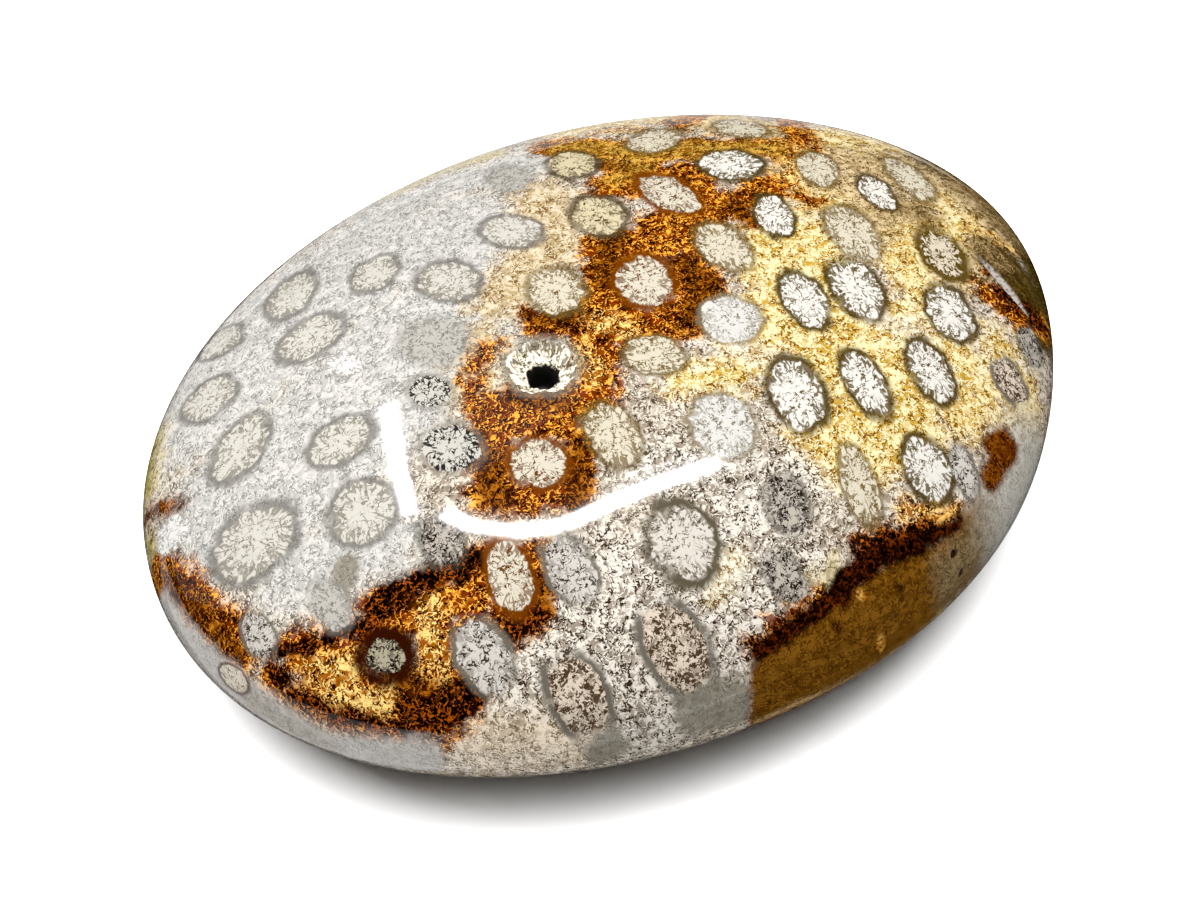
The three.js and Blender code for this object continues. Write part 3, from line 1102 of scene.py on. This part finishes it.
# An area light at a place in millimetres, facing a point, with its first side along a direction.
def make_panel(name, place, facing, along, sides, power, mirrored):
    lamp = bpy.data.lights.new(name, "AREA")
    lamp.shape = "RECTANGLE"
    lamp.size = sides[0] * MM
    lamp.size_y = sides[1] * MM
    lamp.energy = power
    panel = add_object(name, lamp)
    back = (place - facing).normalized()
    along = (along - back * along.dot(back)).normalized()
    turn = Matrix((along, back.cross(along), back)).transposed()
    panel.matrix_world = Matrix.Translation(place * MM) @ turn.to_4x4()
    panel.visible_glossy = mirrored
    panel.visible_diffuse = not mirrored
    panel.visible_camera = False


# A panel that faces the stone, with its first side level.
def make_level_panel(name, place, sides, power, mirrored):
    make_panel(name, place, VIEW_AIM, UPRIGHT.cross(place - VIEW_AIM), sides, power, mirrored)


# Power of a panel whose sides are in millimetres, for its brightness in a mirror.
def panel_power(sides, brightness):
    return brightness * math.pi * sides[0] * sides[1] * MM * MM


# A rectangle of floor that glows in the polish: its middle and first side in millimetres.
GLOW_HEIGHT = -1


def make_glow(name, middle, along, sides, brightness):
    place = Vector((*middle, GLOW_HEIGHT))
    power = panel_power(sides, brightness)
    make_panel(name, place, place + UPRIGHT, along, sides, power, True)


# Floor on the near side of the stone, which fades towards one end in steps.
NEAR_GLOW_EDGE = Vector((-23, -23))
NEAR_GLOW_ALONG = Vector((1, -1)).normalized()
NEAR_GLOW_OUT = Vector((-1, -1)).normalized()
NEAR_GLOW_START = -160
NEAR_GLOW_ENDS = (0, 20, 40, 60)
NEAR_GLOW_DEPTH = 300
NEAR_GLOW_BRIGHTNESS = 0.67


def make_near_glow():
    for end in NEAR_GLOW_ENDS:
        along = NEAR_GLOW_ALONG * (end + NEAR_GLOW_START) / 2
        middle = NEAR_GLOW_EDGE + along + NEAR_GLOW_OUT * NEAR_GLOW_DEPTH / 2
        sides = (end - NEAR_GLOW_START, NEAR_GLOW_DEPTH)
        name = f"near_glow_{end}"
        make_glow(name, middle, NEAR_GLOW_ALONG.to_3d(), sides, NEAR_GLOW_BRIGHTNESS)


# Narrow lights whose mirror image in the skin follows a line of pixels of the view. Each has
# pixels, a width in millimetres and a brightness.
STRIP_DISTANCE = 500
STRIPS = {
    "strip_left": ([(387, 404), (396, 450), (412, 514)], 13, 60),
    "strip_front": ([(446, 513), (472, 526), (518, 532)], 17, 60),
    "strip_right": ([(514, 532), (562, 525), (604, 509), (645, 489), (690, 473), (718, 465)], 22, 60),
    "strip_soft": ([(596, 500), (650, 474), (730, 452)], 24, 3),
}


def make_strip(name, tree, pixels, width, brightness):
    ends = []
    for pixel in pixels:
        point, normal = skin_at(tree, pixel)
        ends.append(point + pixel_direction(pixel).reflect(normal) * STRIP_DISTANCE)
    for number, (start, end) in enumerate(zip(ends[:-1], ends[1:])):
        line = end - start
        sides = (line.length, width)
        power = panel_power(sides, brightness)
        make_panel(f"{name}_{number}", (start + end) / 2, VIEW_AIM, line, sides, power, True)


# Studio light: a large soft panel overhead. Dim panels, glowing floor and strips are seen in the
# polish only. A little light all round isn't mirrored. Places and sides are in millimetres.
OVERHEAD_PLACE = Vector((-50, 60, 700))
OVERHEAD_SIDES = (900, 900)
OVERHEAD_POWER = 27
VEIL_PLACE = Vector((-327, 382, 385))
VEIL_WIDTHS = (800, 740, 680, 620, 560, 500)
VEIL_TALLER = 40
VEIL_BRIGHTNESS = 0.365
FAR_GLOW_MIDDLE = (-70, 225)
FAR_GLOW_ALONG = Vector((1, 0, 0))
FAR_GLOW_SIDES = (260, 360)
FAR_GLOW_BRIGHTNESS = 0.6
SURROUND_COLOUR = (1, 1, 1, 1)
SURROUND_STRENGTH = 0.03


def make_lights(tree):
    make_level_panel("overhead", OVERHEAD_PLACE, OVERHEAD_SIDES, OVERHEAD_POWER, False)
    for width in VEIL_WIDTHS:
        sides = (width, width + VEIL_TALLER)
        power = panel_power(sides, VEIL_BRIGHTNESS)
        make_level_panel(f"veil_{width}", VEIL_PLACE, sides, power, True)
    make_near_glow()
    make_glow("far_glow", FAR_GLOW_MIDDLE, FAR_GLOW_ALONG, FAR_GLOW_SIDES, FAR_GLOW_BRIGHTNESS)
    for name, (pixels, width, brightness) in STRIPS.items():
        make_strip(name, tree, pixels, width, brightness)
    world = bpy.data.worlds.new("surround")
    world.use_nodes = True
    background = world.node_tree.nodes["Background"]
    background.inputs["Color"].default_value = SURROUND_COLOUR
    background.inputs["Strength"].default_value = SURROUND_STRENGTH
    world.cycles_visibility.glossy = False
    bpy.context.scene.world = world


# The camera.
def make_camera():
    lens = bpy.data.cameras.new("camera")
    lens.lens = LENS
    lens.sensor_width = SENSOR
    lens.clip_start = NEAREST_SEEN * MM
    camera = add_object("camera", lens)
    turn = Matrix((RIGHT, UP, BACK)).transposed()
    camera.matrix_world = Matrix.Translation(EYE * MM) @ turn.to_4x4()
    bpy.context.scene.camera = camera


make_camera()
ray_tree = make_stone()
make_floor()
make_lights(ray_tree)
bpy.context.scene.view_settings.view_transform = "Standard"
